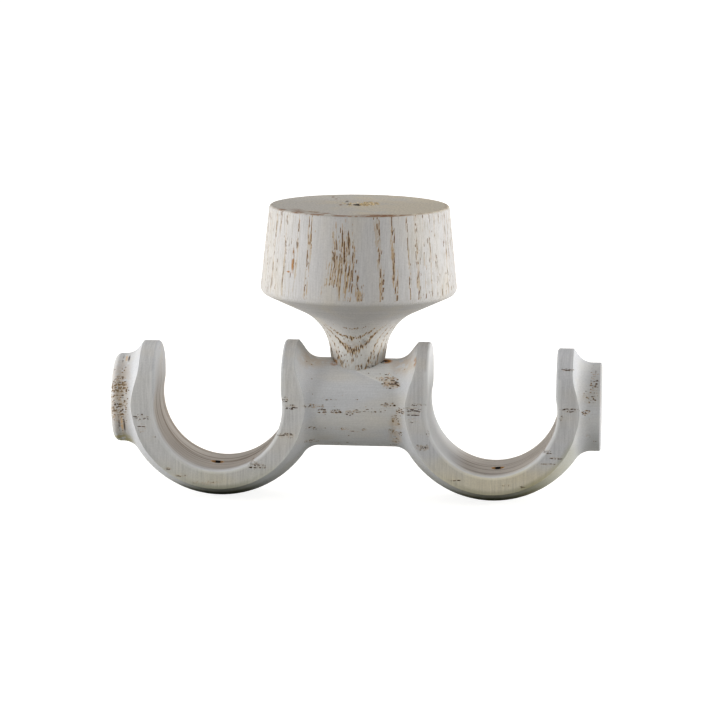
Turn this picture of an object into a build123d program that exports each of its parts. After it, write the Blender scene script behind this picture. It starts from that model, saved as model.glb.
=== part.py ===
"""Double ceiling bracket for two wooden curtain poles, turned from two pieces of wood and glued.

Frame: the origin is the centre of the rose's ceiling face, +Z points up at the ceiling, and the arm lies
along X. The poles lie along Y.
"""

import os
from math import radians, sqrt, tan

from build123d import *

# Driving dimensions in millimetres and degrees

# Poles
pole_diameter = 28.0
cup_clearance = 4.0  # bore of a cup over its pole
mouth_clearance = 3.2  # open mouth of a cup over its pole
pole_spacing = 67.6  # from axis to axis
pole_drop = 49.2  # from the ceiling down to the pole axes

# Ceiling rose
rose_top_diameter = 44.4
rose_rim_diameter = 48.8
rose_side_height = 21.4
rose_top_round = 0.7
rose_rim_round = 2.0
underside_angle = 25.0  # below level, from the rim in to the cove
cove_radius = 12.0
neck_diameter = 13.4  # where it meets the top of the arm
neck_flare = 8.0  # each side, widening upwards
pilot_diameter = 3.0
pilot_depth = 25.0
drill_point_angle = 118.0

# Arm
arm_diameter = 21.9
end_stub_length = 4.8  # from the foot of a bulb out to the end
left_end_round = 1.5
right_end_round = 0.5
cup_wall = 7.8  # wood under the bore at the bottom of a bulb
bulb_arc_sink = 1.2  # centre of the bulb's arc below the arm's axis
bulb_foot_radius = 4.5
cup_width = 24.0  # between the flats, along the poles
inner_horn_height = 15.2  # from the arm's axis to the tip of a horn
outer_horn_height = 14.3
horn_shoulder_round = 6.0  # where a flat turns over into the tip of a horn
throat_radius = 8.0  # where the bore turns up into the mouth
cup_rim_round = 0.7
screw_hole_diameter = 3.0
screw_hole_spacing = 70.0

# Glued joint of neck and arm
tenon_diameter = 8.0
tenon_length = 10.0
tenon_chamfer = 0.6
tenon_clearance = 0.1  # all round, for glue
mortise_room = 0.6  # below the tenon's end

# Sizes that follow from them
arm_radius = arm_diameter / 2
arm_top = -pole_drop + arm_radius
cup_bore = pole_diameter + cup_clearance
mouth_width = pole_diameter + mouth_clearance
cup_x = pole_spacing / 2
bulb_radius = cup_bore / 2 + cup_wall
bulb_arc_radius = bulb_radius + bulb_arc_sink
bulb_half_length = sqrt(bulb_arc_radius**2 - (bulb_arc_sink + arm_radius) ** 2)
arm_length = 2 * (cup_x + bulb_half_length + end_stub_length)
clear_of_bulb = 2 * bulb_radius

# The rose's underside runs in from the rim until it meets the neck's flaring side
rim_radius = rose_rim_diameter / 2
neck_radius = neck_diameter / 2
underside_fall = tan(radians(underside_angle))
flare_slope = tan(radians(neck_flare))
neck_corner_x = (neck_radius + flare_slope * (-rose_side_height - rim_radius * underside_fall - arm_top)) / (
    1 - flare_slope * underside_fall
)
neck_corner_z = -rose_side_height - (rim_radius - neck_corner_x) * underside_fall
neck_axis_radius = neck_radius - arm_radius * flare_slope
pilot_point = pilot_diameter / 2 / tan(radians(drill_point_angle / 2))

arm_axis = Axis((0, 0, -pole_drop), (1, 0, 0))
arm_section = Plane((0, 0, -pole_drop), x_dir=(1, 0, 0), z_dir=(0, -1, 0))

# The arm as it comes off the lathe, with two whole bulbs
with BuildPart() as spindle:
    with BuildSketch(arm_section) as spindle_profile:
        Rectangle(arm_length, arm_radius, align=(Align.CENTER, Align.MIN))
        with Locations((-cup_x, -bulb_arc_sink), (cup_x, -bulb_arc_sink)):
            Circle(bulb_arc_radius)
        Rectangle(arm_length, clear_of_bulb, align=(Align.CENTER, Align.MIN), mode=Mode.INTERSECT)
        inside_ends = arm_length / 2 - end_stub_length / 2
        bulb_feet = spindle_profile.vertices().filter_by_position(Axis.X, -inside_ends, inside_ends)
        fillet(bulb_feet, bulb_foot_radius)
    revolve(axis=arm_axis)
    fillet(spindle.faces().sort_by(Axis.X)[0].edges(), left_end_round)
    fillet(spindle.faces().sort_by(Axis.X)[-1].edges(), right_end_round)

# What the saw and sander leave of a bulb: flat front and back, and arched over the tips of its horns
horn_spans = (
    (-arm_length / 2, -cup_x, outer_horn_height),
    (-cup_x, cup_x, inner_horn_height),
    (cup_x, arm_length / 2, outer_horn_height),
)
with BuildPart() as sawn_section:
    for span_start, span_end, horn_height in horn_spans:
        with BuildSketch(Plane.YZ.offset(span_start)) as arched_section:
            with Locations((0, -pole_drop)):
                Circle(horn_height)
                Rectangle(cup_width, clear_of_bulb, align=(Align.CENTER, Align.MAX))
                Rectangle(cup_width, 2 * clear_of_bulb, mode=Mode.INTERSECT)
            fillet(arched_section.vertices().group_by(Axis.Y)[-1], horn_shoulder_round)
        extrude(amount=span_end - span_start)

# The finished arm, bored for the poles, opened upwards and drilled
with BuildPart() as cup_arm:
    add(spindle.part)
    add(sawn_section.part, mode=Mode.INTERSECT)
    with BuildSketch(arm_section) as cup_openings:
        with Locations((-cup_x, 0), (cup_x, 0)):
            Circle(cup_bore / 2)
            Rectangle(mouth_width, clear_of_bulb, align=(Align.CENTER, Align.MIN))
        throats = cup_openings.vertices().filter_by_position(Axis.Y, 0, bulb_radius)
        fillet(throats, throat_radius)
    extrude(amount=cup_width, both=True, mode=Mode.SUBTRACT)
    cup_rims = cup_arm.edges(Select.LAST).filter_by(Axis.Y, reverse=True)
    fillet(cup_rims, cup_rim_round)
    with Locations((-screw_hole_spacing / 2, 0, -pole_drop), (screw_hole_spacing / 2, 0, -pole_drop)):
        Hole(screw_hole_diameter / 2)
    with Locations((0, 0, arm_top)):
        Hole(tenon_diameter / 2 + tenon_clearance, depth=tenon_length + mortise_room)

# The rose and its neck, turned in one piece and coped to sit on the arm
with BuildPart() as ceiling_rose:
    with BuildSketch(Plane.XZ):
        with BuildLine():
            turned_side = FilletPolyline(
                (pilot_diameter / 2, 0),
                (rose_top_diameter / 2, 0),
                (rim_radius, -rose_side_height),
                (neck_corner_x, neck_corner_z),
                (neck_axis_radius, -pole_drop),
                radius=(rose_top_round, rose_rim_round, cove_radius),
            )
            Polyline(
                turned_side @ 1,
                (0, -pole_drop),
                (0, -pilot_depth - pilot_point),
                (pilot_diameter / 2, -pilot_depth),
                turned_side @ 0,
            )
        make_face()
    revolve(axis=Axis.Z)
    add(spindle.part, mode=Mode.SUBTRACT)
    with Locations((0, 0, arm_top - tenon_length)):
        Cylinder(
            tenon_diameter / 2,
            tenon_length + neck_radius,
            align=(Align.CENTER, Align.CENTER, Align.MIN),
        )
    chamfer(ceiling_rose.edges().sort_by(Axis.Z)[0], tenon_chamfer)

cup_arm.part.label = "cup_arm"
ceiling_rose.part.label = "ceiling_rose"
os.makedirs("parts", exist_ok=True)
export_step(cup_arm.part, "parts/cup_arm.step")
export_step(ceiling_rose.part, "parts/ceiling_rose.step")
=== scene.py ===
"""Looks of the double ceiling bracket: limewashed open-pored wood, in plain soft light on white.

Lengths in the materials are millimetres in the part's own frame. Everything else is in metres.
"""

import math
from dataclasses import dataclass
from functools import reduce

import bpy
from mathutils import Matrix, Vector


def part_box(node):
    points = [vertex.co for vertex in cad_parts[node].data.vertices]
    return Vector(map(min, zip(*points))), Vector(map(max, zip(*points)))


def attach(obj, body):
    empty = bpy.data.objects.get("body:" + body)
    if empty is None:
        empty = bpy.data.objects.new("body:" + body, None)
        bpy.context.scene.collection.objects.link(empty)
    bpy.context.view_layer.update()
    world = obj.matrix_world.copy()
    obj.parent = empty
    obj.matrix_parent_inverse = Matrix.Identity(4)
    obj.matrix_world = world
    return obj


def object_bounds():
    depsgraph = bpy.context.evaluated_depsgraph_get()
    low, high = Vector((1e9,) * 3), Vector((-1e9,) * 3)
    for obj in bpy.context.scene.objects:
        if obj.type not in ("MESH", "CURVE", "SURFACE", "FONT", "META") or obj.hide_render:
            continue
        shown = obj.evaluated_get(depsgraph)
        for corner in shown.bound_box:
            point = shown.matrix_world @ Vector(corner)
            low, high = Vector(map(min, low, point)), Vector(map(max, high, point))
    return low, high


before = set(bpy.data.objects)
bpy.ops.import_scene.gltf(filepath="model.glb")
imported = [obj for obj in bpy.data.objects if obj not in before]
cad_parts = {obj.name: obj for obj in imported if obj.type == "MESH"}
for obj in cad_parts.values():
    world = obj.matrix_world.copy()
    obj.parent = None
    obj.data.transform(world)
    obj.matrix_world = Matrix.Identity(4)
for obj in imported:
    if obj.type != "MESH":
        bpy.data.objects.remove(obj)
cad_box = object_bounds()

# Sizes of the part that its finish follows, in millimetres
arm_end_x = 1000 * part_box("cup_arm")[1].x
flat_y = 1000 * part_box("cup_arm")[1].y  # front and back of the cups lie this far from the arm's middle
axis_z = -49.2  # of the arm and of the poles
cup_x = 33.8  # middle of a cup, to the left and right
bore_radius = 16.0
bulb_arc_radius = 25.0
bulb_arc_sink = 1.2  # centre of the bulb's arc below the arm's axis
screw_hole_x = 35.0
hole_radius = 1.5  # of the screw holes and of the pilot hole

# Camera, as fitted to the photograph
picture_px = 724
focal_px = 4000.0
sensor_mm = 36.0
view_azimuth = math.radians(4.25)
view_elevation = math.radians(9.22)
view_roll = math.radians(0.5)
view_distance = 0.9918
view_target = Vector((0.00096, 0.0, -0.0392))

# Studio
white = (1, 1, 1, 1)
floor_gap = 0.0001  # below the lowest point of the bulbs
floor_size = 16.0
floor_colour = (0.5, 0.49, 0.45, 1)
# Painted contact shadow in the light that the floor sends up and reflects near the bulbs
floor_contact_shadow = (0.04, 0.045, 0.025, 1)
floor_contact_reach = (6, 32)  # from where a bulb touches, in millimetres
floor_glow_near = (0.86, 0.86, 0.86, 1)
floor_glow_reach = (0.1, 0.5)  # out to where the floor is wholly white
lamp_turn = math.radians(6.5)  # of the whole set of lamps, about the upright axis
side_lamp_distance = 0.75
side_lamp_rise = 0.09
side_lamp_width = 0.8
side_lamp_height = 0.24
side_lamp_power = 6.5
high_lamp_distance = 0.9
high_lamp_size = 0.8
front_lamp_elevation = math.radians(28)
front_lamp_power = 1.22
back_lamp_elevation = math.radians(62)
back_lamp_power = 3.5
sky_strength = 0.14


def paint(red, green, blue):
    """A colour written as it looks on screen, 0 to 255, for a shader's socket."""
    shares = [channel / 255 for channel in (red, green, blue)]
    light = [s / 12.92 if s <= 0.04045 else ((s + 0.055) / 1.055) ** 2.4 for s in shares]
    return (*light, 1.0)


class Tone:
    """One value in a node tree. Arithmetic on it adds Math nodes, and make adds any other node."""

    def __init__(self, tree, socket=None):
        self.tree = tree
        self.socket = socket

    def make(self, kind, settings=None, inputs=None, output=0):
        node = self.tree.nodes.new(kind)
        for name, value in (settings or {}).items():
            setattr(node, name, value)
        for name, value in (inputs or {}).items():
            if isinstance(value, Tone):
                self.tree.links.new(value.socket, node.inputs[name])
            else:
                node.inputs[name].default_value = value
        return Tone(self.tree, node.outputs[output] if node.outputs else None)

    def beside(self, output):
        """Another output of the same node."""
        return Tone(self.tree, self.socket.node.outputs[output])

    def math(self, operation, *values):
        return self.make("ShaderNodeMath", {"operation": operation}, dict(enumerate(values)))

    def __add__(self, other):
        return self.math("ADD", self, other)

    def __radd__(self, other):
        return self.math("ADD", other, self)

    def __sub__(self, other):
        return self.math("SUBTRACT", self, other)

    def __rsub__(self, other):
        return self.math("SUBTRACT", other, self)

    def __mul__(self, other):
        return self.math("MULTIPLY", self, other)

    def __rmul__(self, other):
        return self.math("MULTIPLY", other, self)

    def __truediv__(self, other):
        return self.math("DIVIDE", self, other)

    def __abs__(self):
        return self.math("ABSOLUTE", self)

    def most(self, other):
        return self.math("MAXIMUM", self, other)

    def least(self, other):
        return self.math("MINIMUM", self, other)

    def step(self, low, high):
        """0 at low to 1 at high, eased at both ends; low may be the larger."""
        settings = {"interpolation_type": "SMOOTHSTEP"}
        return self.make("ShaderNodeMapRange", settings, {"Value": self, "From Min": low, "From Max": high})

    def sized(self, sizes):
        """This point with each component divided by a size."""
        return self.make("ShaderNodeVectorMath", {"operation": "DIVIDE"}, {0: self, 1: sizes}, "Vector")

    def vector(self, x, y, z=0.0):
        return self.make("ShaderNodeCombineXYZ", None, {"X": x, "Y": y, "Z": z})

    def part(self, axis):
        """One component of a vector or channel of a colour."""
        return self.make("ShaderNodeSeparateXYZ", None, {"Vector": self}, axis)

    def along(self, axis):
        """How far a point lies along an axis."""
        settings = {"operation": "DOT_PRODUCT"}
        return self.make("ShaderNodeVectorMath", settings, {0: self, 1: tuple(axis)}, "Value")

    def scaled(self, amount):
        inputs = {0: self, "Scale": amount}
        return self.make("ShaderNodeVectorMath", {"operation": "SCALE"}, inputs, "Vector")

    def swayed(self, noise, amounts):
        """This point moved to and fro by a noise's three channels."""
        middle = {0: noise.beside("Color"), 1: (0.5, 0.5, 0.5)}
        offset = self.make("ShaderNodeVectorMath", {"operation": "SUBTRACT"}, middle, "Vector")
        inputs = {0: offset, 1: amounts, 2: self}
        return self.make("ShaderNodeVectorMath", {"operation": "MULTIPLY_ADD"}, inputs, "Vector")

    def length(self):
        return self.make("ShaderNodeVectorMath", {"operation": "LENGTH"}, {0: self}, "Value")

    def noise(self, detail=1.0, roughness=0.5):
        """Cloudy noise at this point, about 0.5, with features about one unit wide."""
        inputs = {"Vector": self, "Scale": 1.0, "Detail": detail, "Roughness": roughness}
        return self.make("ShaderNodeTexNoise", {"noise_dimensions": "3D"}, inputs)

    def between(self, first, second):
        """From the first number to the second, with this value as the share of the second."""
        return first + (second - first) * self

    def mix(self, first, second):
        """From the first colour to the second, with this value as the share of the second."""
        return self.make("ShaderNodeMix", {"data_type": "RGBA"}, {0: self, 6: first, 7: second}, 2)

    def tinted(self, tint):
        """This colour times another."""
        settings = {"data_type": "RGBA", "blend_type": "MULTIPLY"}
        return self.make("ShaderNodeMix", settings, {0: 1.0, 6: self, 7: tint}, 2)

    def spot(self, place, half_size):
        """Distance from a place in units of half_size."""
        stretch = [1 / size for size in half_size]
        shift = [-middle / size for middle, size in zip(place, half_size)]
        inputs = {0: self, 1: stretch, 2: shift}
        return self.make("ShaderNodeVectorMath", {"operation": "MULTIPLY_ADD"}, inputs, "Vector").length()


def new_material(name):
    """An empty material, and the point on its surface in millimetres."""
    material = bpy.data.materials.new(name)
    material.use_nodes = True
    material.node_tree.nodes.clear()
    metres = Tone(material.node_tree).make("ShaderNodeTexCoord", output="Object")
    return material, metres.scaled(1000.0)


@dataclass
class Grain:
    """The lie of the wood in one piece, in millimetres: its growth, its fibres and its rings.

    A ring is written as the depth of its sharp edge and how open its pores are. Past the last one the rings
    go on evenly.
    """

    growth: tuple
    fibre: tuple
    origin: tuple
    rings: tuple
    ring_pitch: float
    early_width: float
    pore_pitch: float
    pore_radius: float
    dash_length: float
    dottedness: float  # how far the wash breaks an open pore up into dots
    thinness: float  # of the wash over open pores

    def __post_init__(self):
        self.growth = Vector(self.growth).normalized()
        fibre = Vector(self.fibre)
        self.fibre = (fibre - fibre.dot(self.growth) * self.growth).normalized()
        self.across = self.growth.cross(self.fibre)
        self.shift = self.growth.dot(Vector(self.origin))

    def place(self, point, growth_size, across_size, fibre_size):
        """A point in the wood, with each of its three directions divided by a size."""
        return point.vector(
            point.along(self.growth / growth_size),
            point.along(self.across / across_size),
            point.along(self.fibre / fibre_size),
        )

    def fading(self, into_ring):
        """1 where a ring's early wood begins, to 0 past its width."""
        return into_ring.step(self.early_width, early_core * self.early_width)

    def early_wood(self, along_growth):
        """How open the pores of a ring's early wood are at a distance along the growth."""
        depth = along_growth - self.shift
        last_edge, last_openness = self.rings[-1]
        rings_past = (last_edge - depth) / self.ring_pitch
        into_ring = rings_past.math("FRACT", rings_past) * self.ring_pitch
        total = self.fading(into_ring) * rings_past.step(0.0, 0.05) * last_openness
        for edge, ring_openness in self.rings[:-1]:
            into_ring = edge - depth
            early = into_ring.step(0.0, ring_start) * self.fading(into_ring)
            total = total.most(early * ring_openness)
        return total


# Wood of the two pieces
rose_grain = Grain(
    growth=(-0.1, -0.995, 0.072),
    fibre=(0.024, 0.07, 1),
    origin=(0, 0, 0),
    rings=(
        (22.7, 1.0),
        (21.0, 0.74),
        (19.35, 0.8),
        (17.0, 0.7),
        (15.15, 0.74),
        (13.4, 0.72),
        (11.6, 0.66),
        (9.85, 0.62),
        (7.95, 0.58),
        (6.1, 0.72),
        (4.85, 1.0),
        (3.1, 0.6),
    ),
    ring_pitch=1.77,
    early_width=0.7,
    pore_pitch=0.34,
    pore_radius=0.128,
    dash_length=1.8,
    dottedness=0.0,
    thinness=0.9,
)
arm_grain = Grain(
    growth=(0, -0.996, 0.087),
    fibre=(1, 0, 0),
    origin=(0, 0, axis_z),
    rings=((12.15, 0.2), (10.9, 0.2), (9.35, 0.3), (7.8, 0.25), (6.25, 0.3)),
    ring_pitch=1.55,
    early_width=0.3,
    pore_pitch=0.32,
    pore_radius=0.16,
    dash_length=0.9,
    dottedness=0.8,
    thinness=0.25,
)
ring_start = 0.06  # over which the early wood of a ring begins
early_core = 0.3  # share of the early wood's width that is wholly open
pore_depth = 0.18
pore_run_spread = 7.3  # keeps neighbouring pores' open stretches unlike
least_pore = 0.002  # keeps a closed pore's radius above nothing
bead_length = 0.45
sway_size = (5, 5, 12)
sway_amounts = (0.6, 1.8)  # through the rings, and across them
ragged_size = (0.7, 0.7, 1.3)
ragged_amounts = (0.3, 0.45)

# Wash. A share says how far something lightens, darkens or covers it
fibre_streak_size = (0.28, 0.28, 6)
rose_streak_share = 0.36
arm_streak_share = 0.2
flat_streak_share = 0.05  # the sander took most streaks off the flats
cloud_size = (7, 7, 20)
cloud_share = 0.14
tooth_size = 0.4  # of the dried wash
tooth_share = 0.22
mark_fineness = 0.7  # blotches in a millimetre
bump_strength = 0.8
rose_fibre_height = 0.2  # against the depth of a pore
arm_fibre_height = 0.12
wood_roughness = 0.72
wood_specular = 0.3

# Rose: how far its pores are open, how its wash varies, and painted light on the back of its top
rose_patch_size = (3, 6, 9)
rose_patchiness = 1.4
top_closed = 0.6
underside_closed = 1.2
neck_open = 0.45
right_columns_open = 0.5
side_pores = 0.24  # open ones between the rings
neck_pores = 0.2
neck_foot_pores = 0.16
rose_halo = 0.8  # of brown round a pore
side_halo = 0.4
grey_line_share = 0.5
turning_size = 0.7
turning_share = 0.3
neck_left_shade = 0.12
top_share = 0.85
top_drift = 90.0  # across which the top turns from grey to beige
top_fineness = 0.12  # blotches in a millimetre
top_stipple_size = (0.5, 0.9)
top_stipple_share = 0.8
# Painted light on the back of the top
top_back_painted_light = 0.16
worn_size = (2.5, 2.5, 1.0)
worn_front = 0.07  # more wear at the front of the rim
worn_rim_share = 0.75
worn_side_rim_share = 0.25
top_line_radius = 18.8  # of a worn line on the top
top_line_wander = 6.0
top_line_place = (-9.5, -14.5, 0)
top_line_half_size = (9, 8, 1)
top_line_share = 0.75
clear_place = (-5.2, -23.5, -19.8)  # wash that stayed on at the foot of the patch of pores
clear_half_size = (2.2, 4.0, 3.2)
torn_ground_size = (0.6, 1.6)
torn_ground_place = (0.9, 2.0, 0)
torn_ground_half_size = (4.6, 6.0, 1)

# Arm: how far its pores are open, how its wash varies, and where light and shade are painted on it
arm_patch_size = (4, 4, 9)
arm_patchiness = 2.0
flat_closed = 0.5
arm_halo = 0.7
flat_halo = 0.3
sanding_size = (0.5, 6.0, 7.0)
sanding_share = 0.6
flat_edge_share = 0.3
bore_line_size = (40, 1.2, 40)
bore_brown_share = 0.9
bore_pale_share = 0.6
# Painted highlight round the rims of the bores
bore_rim_highlight_share = 0.5
crease_height = -40.45  # of a faint crease that falls to the right from the foot of the neck
crease_slope = 0.37
crease_lift = 0.07
# Painted light on the barrel, by the neck and low down
by_neck_painted_light = 0.2
low_barrel_painted_light = 0.16
# Painted shade in the coves and on the top of the right end
cove_shade = 0.12
right_cove_shade = 0.09
right_end_shade = 0.06
end_grain_shade = 0.15
left_foot_shade = 0.16
low_band_fineness = 0.16  # blotches in a millimetre
low_band_wander = 6.0
low_band_drop = 2.0  # of its upper edge, from the left bulb to the right one
# Olive dirt and painted shade under the bulbs
dirt_and_shade_share = 0.55
dirt_and_shade_share_beneath = 0.85
dirt_and_shade_lost_by_barrel = 0.7
# Painted contact shadow on the bottoms of the bulbs
left_contact_shadow_share = 0.72
right_contact_shadow_share = 0.52

# Colours
rose_wash = paint(200, 198, 197)
neck_wash = paint(209, 207, 203)
rose_warm_wash = paint(201, 196, 188)
arm_wash = paint(204, 205, 207)
arm_warm_wash = paint(205, 202, 196)
top_beige = paint(200, 189, 168)
top_grey = paint(190, 184, 174)
rim_brown = paint(136, 98, 66)
thin_wash = paint(188, 166, 133)
grey_line = paint(178, 169, 154)
pore_edge = paint(180, 146, 102)
pore_shallow = paint(144, 106, 64)
pore_deep = paint(58, 40, 24)
rose_pore_deep = paint(98, 72, 49)
bore_wash = paint(190, 181, 171)
bore_line = paint(140, 124, 108)
# Pale wash, and a painted highlight on the rims of the bores
pale_wash_and_rim_highlight = paint(228, 228, 227)
crease_tint = (1.12, 1.11, 1.07, 1)  # above the crease
left_flat_tint = (1.03, 1.01, 0.975, 1)
right_flat_tint = (0.94, 0.93, 0.925, 1)
# Yellower low on the flats, lighter on the right: partly yellowing, partly painted bounce light
left_low_tint_and_bounce_light = (0.99, 0.97, 0.86, 1)  # low on the flats
right_low_tint_and_bounce_light = (1.16, 1.09, 0.88, 1)
right_foot_tint = (0.82, 0.81, 0.71, 1)
# Dirt and painted shade under the bulbs
olive_dirt_and_shade = paint(132, 128, 92)
dark_dirt_and_shade = paint(88, 91, 46)
# Dark marks, and painted shade in the holes
dark_mark_and_hole_shade = paint(26, 18, 12)
hole_torn = paint(214, 168, 112)
stain = paint(184, 156, 116)
rust_orange = paint(170, 116, 54)
fresh_wood = paint(214, 178, 132)
# Olive film, partly painted bounce light
olive_film_and_bounce_light = paint(158, 148, 92)
# Painted contact shadow
painted_contact_shadow = paint(54, 54, 30)
torn_cream = paint(226, 210, 172)
torn_shade = paint(172, 142, 100)

# Flecks on the front of the arm, where the wash has come out of the pores: x, z, half width, half height and
# how open they are
arm_flecks = (
    # Band along the barrel
    (-10.7, -48.5, 3.4, 0.7, 0.8),
    (-7.8, -49.9, 1.6, 1.0, 0.85),
    (-4.5, -49.9, 2.0, 0.7, 0.8),
    (-1.4, -50.2, 1.4, 0.8, 0.8),
    (0.5, -49.7, 1.2, 0.5, 0.95),
    (5.0, -49.7, 4.5, 0.9, 0.55),
    (8.6, -48.0, 2.7, 0.7, 0.85),
    (11.3, -49.6, 1.5, 1.3, 0.8),
    # Lower bands of the barrel
    (-9.5, -54.3, 3.6, 0.5, 0.6),
    (-3.3, -54.4, 2.3, 0.45, 0.6),
    (0.0, -54.9, 2.2, 0.4, 0.5),
    (2.3, -54.5, 0.7, 0.4, 0.9),
    (-10.8, -58.1, 2.4, 0.6, 0.75),
    (-1.9, -58.7, 4.5, 0.5, 0.4),
    (9.2, -59.1, 2.0, 0.5, 0.55),
    # Patches at the barrel's right end
    (7.9, -42.0, 3.3, 0.7, 1.0),
    (8.9, -43.2, 2.6, 1.1, 1.3),
    (7.6, -41.1, 1.8, 0.35, 0.7),
    (10.4, -51.9, 1.7, 1.9, 0.62),
    (9.0, -54.7, 1.2, 0.9, 0.74),
    (10.8, -55.3, 1.5, 0.9, 0.68),
    (9.9, -57.6, 1.2, 1.6, 0.62),
    # Left cup
    (-52.5, -52.4, 2.6, 1.2, 0.66),
    (-52.4, -54.9, 1.5, 1.5, 0.64),
    (-49.4, -57.0, 0.6, 0.4, 0.9),
    (-46.0, -64.9, 1.2, 0.4, 0.95),
    (-42.6, -66.5, 2.0, 0.6, 0.95),
    (-36.5, -68.2, 4.6, 0.6, 0.8),
    (-24.6, -63.0, 1.3, 0.7, 1.0),
    (-24.0, -63.8, 3.3, 0.9, 0.8),
    (-16.7, -56.0, 2.7, 0.9, 0.85),
    (-17.0, -47.0, 1.0, 0.9, 0.9),
    (-15.4, -48.8, 2.2, 0.8, 0.8),
    # Right cup
    (15.6, -47.6, 2.4, 0.4, 0.9),
    (14.5, -48.6, 2.9, 0.4, 0.85),
    (14.5, -49.3, 2.9, 0.4, 0.85),
    (14.5, -50.0, 2.9, 0.4, 0.85),
    (14.8, -51.2, 2.2, 0.3, 0.7),
    (14.8, -51.9, 2.2, 0.3, 0.6),
    (16.9, -58.3, 2.2, 1.1, 0.8),
    (18.2, -54.7, 0.6, 1.2, 0.75),
    (24.8, -66.1, 1.9, 0.4, 0.6),
    (37.6, -67.3, 1.6, 0.5, 0.6),
    (41.8, -67.4, 1.7, 0.5, 0.6),
    (47.6, -58.8, 1.3, 1.0, 0.9),
    (49.6, -60.2, 2.0, 0.4, 0.95),
    (47.9, -61.7, 2.4, 0.3, 0.95),
    (50.8, -50.1, 0.6, 0.9, 0.75),
    (53.0, -48.2, 2.8, 0.75, 0.85),
    (52.2, -38.6, 2.1, 0.4, 0.9),
    # Ends
    (-58.2, -45.4, 2.6, 3.6, 0.9),
    (-58.7, -51.0, 2.2, 3.6, 0.78),
    (-58.2, -48.0, 2.6, 9.5, 0.6),
    (58.7, -42.5, 1.4, 4.4, 0.64),
    (56.9, -45.2, 1.4, 1.9, 0.6),
    (56.9, -48.8, 1.4, 0.8, 0.7),
    (57.4, -54.9, 0.8, 0.6, 0.7),
)

# Stains and scratches, with a few painted shadows and some painted bounce light: place, half size, colour
# and strength, which is over 1 for those that are unbroken
arm_marks = (
    # Round the foot of the neck
    ((-5.6, -4.1, -38.9), (1.2, 1.6, 0.8), rust_orange, 0.9),
    ((7.0, -2.2, -38.5), (1.9, 1.8, 0.8), rust_orange, 1.3),
    ((6.1, -3.0, -38.6), (0.7, 0.9, 0.6), dark_mark_and_hole_shade, 3.0),
    ((6.9, -2.2, -38.5), (1.0, 0.7, 0.6), dark_mark_and_hole_shade, 2.2),
    ((-11.5, -4.0, -38.3), (6.0, 6.0, 2.2), stain, 0.35),
    ((12.0, -5.0, -38.5), (4.5, 6.0, 3.4), stain, 0.4),
    # Right end of the barrel
    ((14.7, -9.1, -37.4), (0.45, 1.6, 2.4), rust_orange, 0.8),
    ((10.2, -10.0, -52.5), (2.0, 3.0, 3.0), stain, 0.4),
    ((10.0, -8.0, -56.5), (2.0, 3.0, 3.0), stain, 0.4),
    # Left end
    ((-58.0, -8.0, -48.0), (3.2, 6.0, 13.0), stain, 0.45),
    # Olive film on the bottom of the left end, partly painted bounce light
    ((-58.0, -5.0, -59.0), (3.5, 7.0, 2.6), olive_film_and_bounce_light, 0.9),
    ((-57.7, -9.6, -54.7), (0.4, 3.0, 2.4), fresh_wood, 0.9),
    ((-58.4, -9.6, -55.0), (0.3, 3.0, 2.4), pore_deep, 0.9),
    ((-57.1, -9.6, -54.8), (0.3, 3.0, 2.6), pore_deep, 0.9),
    ((-58.1, -4.0, -38.9), (0.25, 2.5, 1.2), pore_deep, 0.8),
    ((-56.6, -4.3, -38.8), (0.3, 2.5, 1.0), pore_deep, 0.9),
    ((-57.3, -4.0, -38.9), (0.4, 2.5, 1.0), fresh_wood, 0.8),
)
rose_marks = (
    # Scratch on the side
    ((-14.6, -18.3, -11.2), (0.3, 2.0, 3.8), pore_shallow, 1.2),
    ((-14.9, -18.3, -12.9), (0.22, 2.0, 2.0), rust_orange, 1.0),
    ((-15.6, -17.8, -14.5), (0.9, 2.0, 0.25), rust_orange, 1.2),
    # Worn places on the rim
    ((8.2, -20.2, 0.0), (7.8, 2.6, 0.35), rim_brown, 1.0),
    ((-18.2, -12.0, 0.0), (1.6, 2.0, 0.35), rim_brown, 0.8),
    ((-13.8, -16.8, 0.0), (1.8, 2.0, 0.35), rim_brown, 0.9),
    # Specks near the back of the top
    ((-7.8, 15.3, 0.0), (0.5, 1.2, 1.0), rim_brown, 1.0),
    ((-6.4, 14.6, 0.0), (0.4, 1.0, 1.0), rim_brown, 1.0),
    ((-6.7, 11.4, 0.0), (0.4, 1.2, 1.0), rim_brown, 0.9),
    # Broken wood beside the pilot hole, with dark specks of painted shadow between its crumbs
    ((-2.6, 0.9, 0.0), (0.7, 1.8, 1.0), pore_deep, 1.2),
    ((-3.6, 6.6, 0.0), (0.5, 1.8, 1.0), pore_deep, 1.0),
    ((-4.6, -0.6, 0.0), (0.5, 1.6, 1.0), rim_brown, 1.0),
    ((2.2, 6.2, 0.0), (0.6, 1.6, 1.0), pore_deep, 0.9),
    ((3.4, 1.8, 0.0), (0.4, 1.4, 1.0), pore_deep, 1.0),
    # Foot of the neck
    ((-5.2, -4.2, -38.5), (0.9, 1.2, 0.7), rust_orange, 0.9),
    ((3.6, -5.5, -39.4), (1.5, 1.6, 0.4), pore_deep, 0.9),
    ((-1.0, -6.4, -33.4), (2.6, 2.0, 1.6), pore_shallow, 0.35),
    ((2.0, -6.2, -32.9), (1.4, 2.0, 1.6), pore_deep, 0.5),
)

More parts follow.
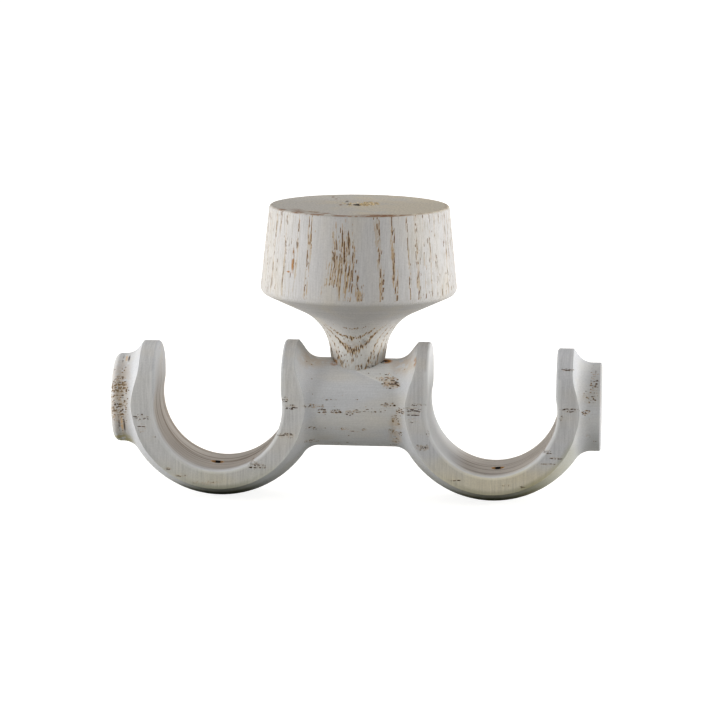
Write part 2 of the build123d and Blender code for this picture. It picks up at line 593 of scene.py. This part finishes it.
# Torn wood round the mouth of the pilot hole: x, y and half width
torn_places = (
    # Over the mouth
    (0.85, -0.75, 0.5),
    (0.95, 0.6, 0.6),
    (0.4, 1.35, 0.45),
    # On the right
    (1.9, -1.3, 0.42),
    (2.1, 0.9, 0.55),
    (1.7, 2.7, 0.5),
    (2.9, 2.4, 0.42),
    (3.3, 0.1, 0.38),
    (3.9, 3.5, 0.42),
    (2.6, 4.8, 0.4),
    (1.1, 4.3, 0.34),
    (4.5, 1.5, 0.28),
    # On the left
    (-2.4, 2.5, 0.34),
    (-3.7, 1.2, 0.26),
    (-2.2, -1.6, 0.28),
    (-4.4, 3.2, 0.2),
)
torn_length = 1.6  # of a crumb, over its width
torn_height = 0.75  # share of a half width that stands proud
torn_roughness = 0.25  # of the crumbs' faces, as a share of their half width
torn_crease = math.radians(50)  # edges sharper than this stay sharp
torn_fibre_size = (0.12, 0.12, 0.6)


def open_pores(point, grain, openness, anywhere):
    """Pores that the wash left open: their dark cores, their brown edges, their depth and how far they show.

    Those of the rings show as far as openness says, and any others as far as anywhere says.
    """
    pitch = grain.pore_pitch
    sway = grain.place(point, *sway_size).noise()
    ragged = grain.place(point, *ragged_size).noise()
    cell_place = grain.place(point, pitch, pitch, 1.0)
    cell_place = cell_place.swayed(sway, [amount / pitch for amount in sway_amounts] + [0])
    cell_place = cell_place.swayed(ragged, [amount / pitch for amount in ragged_amounts] + [0])
    settings = {"voronoi_dimensions": "2D", "feature": "F1"}
    inputs = {"Vector": cell_place, "Scale": 1.0}
    cell = cell_place.make("ShaderNodeTexVoronoi", settings, inputs, "Distance")
    centre = cell.beside("Position")
    luck = cell.beside("Color").part("X")
    early = grain.early_wood(centre.part("X") * pitch)
    shown = (early * openness).most(anywhere)

    # Along its fibre a pore opens and closes in runs, longer where more is shown, and may break up into dots
    apart_x = centre.part("X") * pore_run_spread
    apart_y = centre.part("Y") * pore_run_spread
    run = point.vector(apart_x, apart_y, point.along(grain.fibre / grain.dash_length)).noise(detail=0.0)
    bead = point.vector(apart_y, apart_x, point.along(grain.fibre / bead_length)).noise(detail=0.0)
    swell = (run - (0.75 - 0.5 * shown)).step(0.0, 0.12) * shown.step(0.05, 0.25)
    dots = 1.0 - grain.dottedness * (bead + 0.2 * shown).step(0.66, 0.56)

    # Its radius goes by its luck, and swells with the beads and where more is shown
    boldness = (0.75 + 0.35 * shown) * (grain.pore_radius / pitch)
    radius = swell * dots * (0.3 + 0.6 * luck + 0.5 * bead) * boldness
    reach = cell / (radius + least_pore)
    core = reach.step(1.05, 0.5)
    edge = reach.step(2.6, 0.6) * swell * dots
    return core, edge, swell, shown


def washed(point, grain, wash, warm_wash, deep, openness, anywhere, streak_share, halo):
    """Colour of limewashed wood with its open pores, and how far a point lies in a fibre and in a pore."""
    core, edge, swell, shown = open_pores(point, grain, openness, anywhere)
    fibres = grain.place(point, *fibre_streak_size).noise(detail=2.0)
    cloud = grain.place(point, *cloud_size).noise(detail=2.0)
    tooth = point.scaled(1 / tooth_size).noise()
    colour = cloud.step(0.4, 0.8).mix(wash, warm_wash)
    unevenness = (fibres - 0.5) * streak_share + (cloud - 0.5) * cloud_share + (tooth - 0.5) * tooth_share
    colour = colour.scaled(1.0 + unevenness)
    thin = shown.step(0.35, 1.0) * fibres.step(0.6, 0.4) * grain.thinness
    colour = thin.mix(colour, thin_wash)
    colour = (edge * halo).mix(colour, pore_edge)
    colour = core.mix(colour, swell.mix(pore_shallow, deep))
    return colour, fibres, core


def marked(point, colour, marks):
    """A colour with stains and scratches over it, and some painted shadow and bounce light."""
    blotch = point.scaled(mark_fineness).noise(detail=3.0)
    for place, half_size, mark_colour, strength in marks:
        share = point.spot(place, half_size).step(1.2, 0.3) * blotch.step(0.3, 0.55) * strength
        colour = share.mix(colour, mark_colour)
    return colour


def finish_wood(material, colour, height):
    """A material finished with its colour and the height of its fibres and pores."""
    relief = {"Strength": bump_strength, "Distance": pore_depth / 1000, "Height": height}
    inputs = {
        "Base Color": colour,
        "Roughness": wood_roughness,
        "Specular IOR Level": wood_specular,
        "Normal": colour.make("ShaderNodeBump", None, relief),
    }
    surface = colour.make("ShaderNodeBsdfPrincipled", None, inputs)
    colour.make("ShaderNodeOutputMaterial", None, {"Surface": surface})
    return material


class RoseSurface:
    """Where a point lies on the rose and its neck."""

    def __init__(self, point):
        self.point = point
        self.x, self.y, self.z = (point.part(axis) for axis in "XYZ")
        self.out = point.vector(self.x, self.y).length()
        self.top = self.z.step(-0.45, -0.1)
        self.side = abs(self.x).step(9, 17) * (1.0 - self.top)
        self.underside = self.z.step(-20.2, -21.0) * self.z.step(-30.0, -27.0)
        self.neck = self.z.step(-27, -33)


def rose_pores(rose):
    """How far the pores of the rose's rings are open, and those between the rings."""
    patches = rose_grain.place(rose.point, *rose_patch_size).noise()
    right_columns = rose.x.step(8, 11) * rose.x.step(19, 16) * rose.z.step(-5, -12)
    clear = rose.point.spot(clear_place, clear_half_size).step(1.15, 0.6)
    closed = rose.top * top_closed + rose.underside * underside_closed
    opened = rose.neck * neck_open + right_columns * right_columns_open
    openness = (1.0 + (patches - 0.5) * rose_patchiness - closed + opened) * (1.0 - clear)
    neck_foot = rose.z.step(-33, -36)
    between_rings = rose.side * side_pores + rose.neck * neck_pores + neck_foot * neck_foot_pores
    return openness, between_rings * (1.0 - rose.underside)


def beige_top(rose, colour):
    """A colour with the rose's stippled top over it, lighter at the back with painted light, its worn rim,
    and a worn line beside the rim.
    """
    blotch = rose.point.scaled(top_fineness).noise(detail=2.0)
    stipple_x, stipple_y = top_stipple_size
    stipple = rose.point.vector(rose.x / stipple_x, rose.y / stipple_y).noise(detail=2.0)
    beige = (blotch + rose.x / top_drift).step(0.35, 0.65).mix(top_grey, top_beige)
    # Painted light on the back of the top
    beige = beige.scaled(1.0 + (stipple - 0.5) * top_stipple_share + rose.y.step(3, 15) * top_back_painted_light)
    colour = (rose.top * top_share).mix(colour, beige)

    worn = rose.point.sized(worn_size).noise(detail=3.0)
    line = abs(rose.out + (blotch - 0.5) * top_line_wander - top_line_radius).step(2.0, 0.5) * rose.top
    line = line * rose.point.spot(top_line_place, top_line_half_size).step(1.0, 0.6) * worn.step(0.4, 0.55)
    colour = (line * top_line_share).mix(colour, rim_brown)
    rim = rose.out.step(20.8, 21.4) * rose.z.step(-0.4, -0.15)
    rim = rim * (worn + rose.y.step(-8, -20) * worn_front).step(0.48, 0.6)
    rim = rim * abs(rose.x).step(10, 17).between(worn_rim_share, worn_side_rim_share)
    return rim.mix(colour, rim_brown)


def torn_mouth(rose, colour):
    """A colour with painted shade in the pilot hole, and the broken wood round its mouth."""
    ground_x, ground_y = torn_ground_size
    ground = rose.point.vector(rose.x / ground_x, rose.y / ground_y).noise(detail=2.0)
    near = rose.point.spot(torn_ground_place, torn_ground_half_size).step(1.0, 0.5) * rose.top
    colour = (near * ground.step(0.48, 0.58)).mix(colour, torn_cream)
    colour = (near * ground.step(0.42, 0.36)).mix(colour, rim_brown)
    # Painted shade in and round the pilot hole
    return rose.out.step(hole_radius + 0.25, hole_radius - 0.05).mix(colour, dark_mark_and_hole_shade)


def rose_wood():
    """Wash over upright grain: brown pores down the side, a worn rim and a beige top."""
    material, point = new_material("rose_wash")
    rose = RoseSurface(point)
    openness, between_rings = rose_pores(rose)
    colour, fibres, core = washed(
        point,
        rose_grain,
        wash=rose.neck.mix(rose_wash, neck_wash),
        warm_wash=rose_warm_wash,
        deep=rose.neck.mix(rose_pore_deep, pore_deep),
        openness=openness,
        anywhere=between_rings,
        streak_share=rose_streak_share,
        halo=rose.side.between(rose_halo, side_halo),
    )
    grey_lines = fibres.step(0.48, 0.36) * rose.side * (1.0 - rose.neck)
    colour = (grey_lines * grey_line_share).mix(colour, grey_line)
    turning = point.vector(0.0, rose.out / turning_size, rose.z / turning_size).noise(detail=2.0)
    neck_left = rose.neck * rose.x.step(-3, -7)
    unevenness = (turning - 0.5) * rose.underside * turning_share - neck_left * neck_left_shade
    colour = colour.scaled(1.0 + unevenness)
    colour = beige_top(rose, colour)
    colour = marked(point, colour, rose_marks)
    colour = torn_mouth(rose, colour)
    return finish_wood(material, colour, fibres * rose_fibre_height - core)


def torn_wood():
    """Pale broken fibres."""
    material, point = new_material("torn_wood")
    fibres = rose_grain.place(point, *torn_fibre_size).noise(detail=2.0)
    colour = fibres.step(0.4, 0.6).mix(torn_shade, torn_cream)
    return finish_wood(material, colour, fibres)


class ArmSurface:
    """Where a point lies on the arm and its cups."""

    def __init__(self, point):
        self.point = point
        self.x, self.y, self.z = (point.part(axis) for axis in "XYZ")
        self.right = self.x.step(-10, 10)
        from_cup = abs(self.x) - cup_x
        above_axis = self.z - axis_z
        self.from_pole = point.vector(from_cup, above_axis.least(0.0)).length()
        self.bore = self.from_pole.step(bore_radius + 0.45, bore_radius + 0.05)
        from_axis = point.vector(self.y, above_axis).length()
        self.below_turning = bulb_arc_radius - point.vector(from_cup, from_axis + bulb_arc_sink).length()
        self.turned = self.below_turning.step(1.3, 0.1) * (1.0 - self.bore)
        sawn = self.below_turning.step(0.04, 0.12).most(abs(self.y).step(flat_y - 0.2, flat_y - 0.05))
        self.flat = sawn * (1.0 - self.bore)


def fleck_patches(arm):
    """How far the pores on the arm's front are open in its flecks."""
    seen_from_front = arm.point.vector(arm.x, 0.0, arm.z)
    patches = []
    for fleck_x, fleck_z, half_width, half_height, fleck_openness in arm_flecks:
        spot = seen_from_front.spot((fleck_x, 0, fleck_z), (half_width, 1, half_height))
        patches.append(spot.step(1.15, 0.6) * fleck_openness)
    return reduce(Tone.most, patches) * arm.y.step(-2.5, -4.0)


def sand_flats(arm, colour):
    """A colour with the flats sanded, and paler along their edges."""
    sanding = arm.point.sized(sanding_size).noise(detail=3.0, roughness=0.6)
    tint = arm.right.mix(left_flat_tint, right_flat_tint)
    sanded = colour.scaled(1.0 + (sanding - 0.5) * sanding_share).tinted(tint)
    sanded = (arm.below_turning.step(0.7, 0.1) * flat_edge_share).mix(sanded, pale_wash_and_rim_highlight)
    return arm.flat.mix(colour, sanded)


def brown_bores(arm, colour):
    """A colour with lined brown wood in the bores, paler wash in part of the right one, and a painted
    highlight round their rims.
    """
    lines = arm.point.sized(bore_line_size).noise(detail=2.0).step(0.5, 0.62)
    pale_wall = arm.right * arm.x.step(28, 21)
    browned = arm.y.step(-13, -6) * arm.z.step(-36, -54) * (1.0 - pale_wall)
    colour = (arm.bore * browned * bore_brown_share).mix(colour, lines.mix(bore_wash, bore_line))
    colour = (arm.bore * pale_wall * bore_pale_share).mix(colour, pale_wash_and_rim_highlight)
    # Painted highlight round the rims of the bores
    rim = arm.from_pole.step(bore_radius - 0.1, bore_radius + 0.2)
    rim = rim * arm.from_pole.step(bore_radius + 1.0, bore_radius + 0.6)
    rim = rim * abs(arm.y).step(flat_y - 0.9, flat_y - 0.5)
    return (rim * bore_rim_highlight_share).mix(colour, pale_wash_and_rim_highlight)


def shade_wash(arm, colour):
    """A colour with the crease under the neck, painted light on the barrel by the neck and low down, painted
    shade in the coves and on the top of the right end, and darker end grain.
    """
    from_crease = arm.z + arm.x * crease_slope - crease_height
    by_crease = arm.x.step(-0.5, 0.5) * arm.x.step(9.5, 8.0)
    colour = (by_crease * from_crease.step(-0.1, 0.1)).mix(colour, colour.tinted(crease_tint))
    crease = by_crease * abs(from_crease).step(0.35, 0.1)
    barrel = abs(arm.x).step(15, 10)
    by_neck = barrel * arm.z.step(-48, -42)
    low_barrel = barrel * arm.z.step(-54, -59)
    cove = abs(arm.x).step(9, 12) * abs(arm.x).step(21, 17) * (1.0 - arm.flat)
    right_end = arm.x.step(54, 56) * arm.z.step(-49, -45)
    end_grain = abs(arm.x).step(arm_end_x - 0.15, arm_end_x - 0.03)
    # Painted light by the neck and low on the barrel; painted shade in the coves and on the top of the right
    # end
    lift = by_neck * by_neck_painted_light + low_barrel * low_barrel_painted_light + crease * crease_lift
    cove = cove * arm.right.between(cove_shade, right_cove_shade)
    shade = cove + right_end * right_end_shade + end_grain * end_grain_shade
    return colour.scaled(1.0 + lift - shade)


def dirty_and_shaded_bottoms(arm, colour):
    """A colour with the bulbs' feet: yellower low on the flats, partly as painted bounce light, the left
    foot darker, the right foot darker and yellower, olive dirt and painted shade under the bulbs, and a
    painted contact shadow on the bottoms that they stand on.
    """
    wander = (arm.point.scaled(low_band_fineness).noise(detail=2.0) - 0.5) * low_band_wander
    # Yellower low on the flats: partly yellowing, partly painted bounce light
    low = (arm.z - arm.right * low_band_drop + wander).step(-61, -69)
    low_tint_and_bounce_light = arm.right.mix(left_low_tint_and_bounce_light, right_low_tint_and_bounce_light)
    colour = (low * arm.flat).mix(colour, colour.tinted(low_tint_and_bounce_light))
    left_foot = arm.turned * arm.x.step(-44, -50) * arm.z.step(-53, -58)
    colour = colour.scaled(1.0 - left_foot * left_foot_shade)
    right_foot = arm.turned * arm.x.step(38, 44) * arm.x.step(56, 53) * arm.z.step(-54, -59)
    colour = right_foot.mix(colour, colour.tinted(right_foot_tint))

    # Olive dirt and painted shade under the bulbs, most on the front
    beneath = arm.y.step(-10.8, -8.4) * arm.y.step(-2.0, -4.2)
    dirt_and_shade = low * arm.turned * arm.x.step(-46, -36) * arm.x.step(51, 42)
    dirt_and_shade = dirt_and_shade * (1.0 - abs(arm.x).step(30, 22) * dirt_and_shade_lost_by_barrel)
    dirt_and_shade = dirt_and_shade * beneath.between(dirt_and_shade_share, dirt_and_shade_share_beneath)
    colour = dirt_and_shade.mix(colour, arm.right.mix(dark_dirt_and_shade, olive_dirt_and_shade))
    # Painted contact shadow on the front half of the bottoms that the bulbs stand on
    contact_shadow = low * arm.turned * beneath * abs(arm.x).step(47, 39) * abs(arm.x).step(19, 29)
    contact_shadow = contact_shadow * arm.right.between(left_contact_shadow_share, right_contact_shadow_share)
    return contact_shadow.mix(colour, painted_contact_shadow)


def screw_holes(arm, colour):
    """A colour with painted shade in the holes in the bottoms of the cups, torn to their left and right."""
    from_hole = abs(arm.x) - screw_hole_x
    # Painted shade in the holes, with torn wood at their sides
    hole = arm.point.vector(from_hole, arm.y).length().step(hole_radius + 0.35, hole_radius)
    return hole.mix(colour, abs(from_hole).step(0.45, 0.9).mix(dark_mark_and_hole_shade, hole_torn))


def arm_wood():
    """Wash over grain that runs along the arm: flecks in bands and patches, and browner bores."""
    material, point = new_material("arm_wash")
    arm = ArmSurface(point)
    patches = arm_grain.place(point, *arm_patch_size).noise()
    colour, fibres, core = washed(
        point,
        arm_grain,
        wash=arm_wash,
        warm_wash=arm_warm_wash,
        deep=pore_deep,
        openness=1.0 + (patches - 0.5) * arm_patchiness - arm.flat * flat_closed,
        anywhere=fleck_patches(arm),
        streak_share=arm.flat.between(arm_streak_share, flat_streak_share),
        halo=arm.flat.between(arm_halo, flat_halo),
    )
    colour = marked(point, colour, arm_marks)
    for finish in (sand_flats, brown_bores, shade_wash, dirty_and_shaded_bottoms, screw_holes):
        colour = finish(arm, colour)
    return finish_wood(material, colour, fibres * arm_fibre_height - core)


def tear_fibres():
    """Crumbs of torn wood that the drill left round the mouth of the pilot hole."""
    bpy.ops.object.select_all(action="DESELECT")
    crumbs = []
    for number, (x, y, half_width) in enumerate(torn_places):
        size = half_width / 1000
        bpy.ops.mesh.primitive_ico_sphere_add(subdivisions=2, radius=size, location=(x / 1000, y / 1000, 0))
        crumb = bpy.context.object
        bpy.ops.object.mode_set(mode="EDIT")
        bpy.ops.mesh.select_all(action="SELECT")
        bpy.ops.transform.vertex_random(offset=torn_roughness * size, seed=number)
        bpy.ops.transform.resize(value=(1, torn_length, torn_height))
        bpy.ops.transform.rotate(value=number, orient_axis="Z", center_override=crumb.location)
        bpy.ops.object.mode_set(mode="OBJECT")
        crumbs.append(crumb)
    for crumb in crumbs:
        crumb.select_set(True)
    bpy.ops.object.join()
    bpy.ops.object.transform_apply(location=True, rotation=True, scale=True)
    bpy.ops.object.shade_smooth_by_angle(angle=torn_crease)
    fibres = bpy.context.object
    fibres.name = "torn_fibres"
    fibres.data.materials.append(torn_wood())
    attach(fibres, "root")


def place_camera():
    """The camera, in front and a little above, with the roll of the photograph."""
    back = Vector(
        (
            math.sin(view_azimuth) * math.cos(view_elevation),
            -math.cos(view_azimuth) * math.cos(view_elevation),
            math.sin(view_elevation),
        )
    )
    level_right = Vector((0, 0, 1)).cross(back).normalized()
    level_up = back.cross(level_right)
    right = math.cos(view_roll) * level_right + math.sin(view_roll) * level_up
    up = math.cos(view_roll) * level_up - math.sin(view_roll) * level_right
    turn = Matrix((right, up, back)).transposed()
    bpy.ops.object.camera_add(location=view_target + back * view_distance, rotation=turn.to_euler())
    camera = bpy.context.object
    camera.data.sensor_width = sensor_mm
    camera.data.lens = focal_px * sensor_mm / picture_px
    camera.data.clip_end = 4 * floor_size
    bpy.context.scene.camera = camera


def add_lamp(place, width, height, power):
    """A soft lamp that faces the object."""
    aim = (view_target - place).to_track_quat("-Z", "Y").to_euler()
    bpy.ops.object.light_add(type="AREA", location=place, rotation=aim)
    lamp = bpy.context.object
    lamp.data.shape = "RECTANGLE"
    lamp.data.size = width
    lamp.data.size_y = height
    lamp.data.energy = power
    lamp.visible_camera = False


def light_studio():
    """A wide lamp on each side, one high in front, one higher behind, and a faint white sky."""
    across = Vector((math.cos(lamp_turn), math.sin(lamp_turn), 0))
    forward = Vector((math.sin(lamp_turn), -math.cos(lamp_turn), 0))
    for side in (-1, 1):
        beside = side * side_lamp_distance * across + Vector((0, 0, side_lamp_rise))
        add_lamp(view_target + beside, side_lamp_width, side_lamp_height, side_lamp_power)
    high_lamps = (
        (forward, front_lamp_elevation, front_lamp_power),
        (-forward, back_lamp_elevation, back_lamp_power),
    )
    for level, elevation, power in high_lamps:
        aloft = math.cos(elevation) * level + Vector((0, 0, math.sin(elevation)))
        add_lamp(view_target + high_lamp_distance * aloft, high_lamp_size, high_lamp_size, power)
    world = bpy.data.worlds.new("studio")
    bpy.context.scene.world = world
    world.use_nodes = True
    background = world.node_tree.nodes["Background"]
    background.inputs["Color"].default_value = white
    background.inputs["Strength"].default_value = sky_strength


def lay_floor():
    """A white floor under the bulbs, with a faint shade, which sends up only a soft share of the light, and
    a painted contact shadow round where each bulb touches it, in the light that it sends up and in its
    reflections.
    """
    bpy.ops.mesh.primitive_plane_add(size=floor_size, location=(0, 0, cad_box[0][2] - floor_gap))
    floor = bpy.context.object
    floor.name = "studio_floor"
    material, point = new_material("white_floor")
    from_bulb = point.vector(abs(point.part("X")) - cup_x, point.part("Y")).length()
    open_floor = from_bulb.step(*floor_contact_reach)
    rays = point.make("ShaderNodeLightPath", output="Is Camera Ray")
    # Close to the bulbs, reflections see the dark bounce: a painted contact shadow
    glossy = rays.beside("Is Glossy Ray") * open_floor
    seen = rays.most(glossy).most(rays.beside("Is Transmission Ray"))
    diffuse = point.make("ShaderNodeBsdfDiffuse", None, {"Color": floor_colour})
    from_middle = point.scaled(0.001).length()  # in metres
    glow_colour = from_middle.step(*floor_glow_reach).mix(floor_glow_near, white)
    glow = point.make("ShaderNodeEmission", None, {"Color": glow_colour})
    lifted = point.make("ShaderNodeAddShader", None, {0: diffuse, 1: glow})
    # Painted contact shadow in the light sent up round where each bulb touches
    bounce_colour = open_floor.mix(floor_contact_shadow, floor_colour)
    bounce = point.make("ShaderNodeBsdfDiffuse", None, {"Color": bounce_colour})
    surface = point.make("ShaderNodeMixShader", None, {0: seen, 1: bounce, 2: lifted})
    point.make("ShaderNodeOutputMaterial", None, {"Surface": surface})
    floor.data.materials.append(material)


bpy.ops.object.select_all(action="DESELECT")
place_camera()
light_studio()
lay_floor()
bpy.context.scene.view_settings.view_transform = "Standard"

tear_fibres()
for node, wood in (("ceiling_rose", rose_wood()), ("cup_arm", arm_wood())):
    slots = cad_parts[node].data.materials
    slots.clear()
    slots.append(wood)
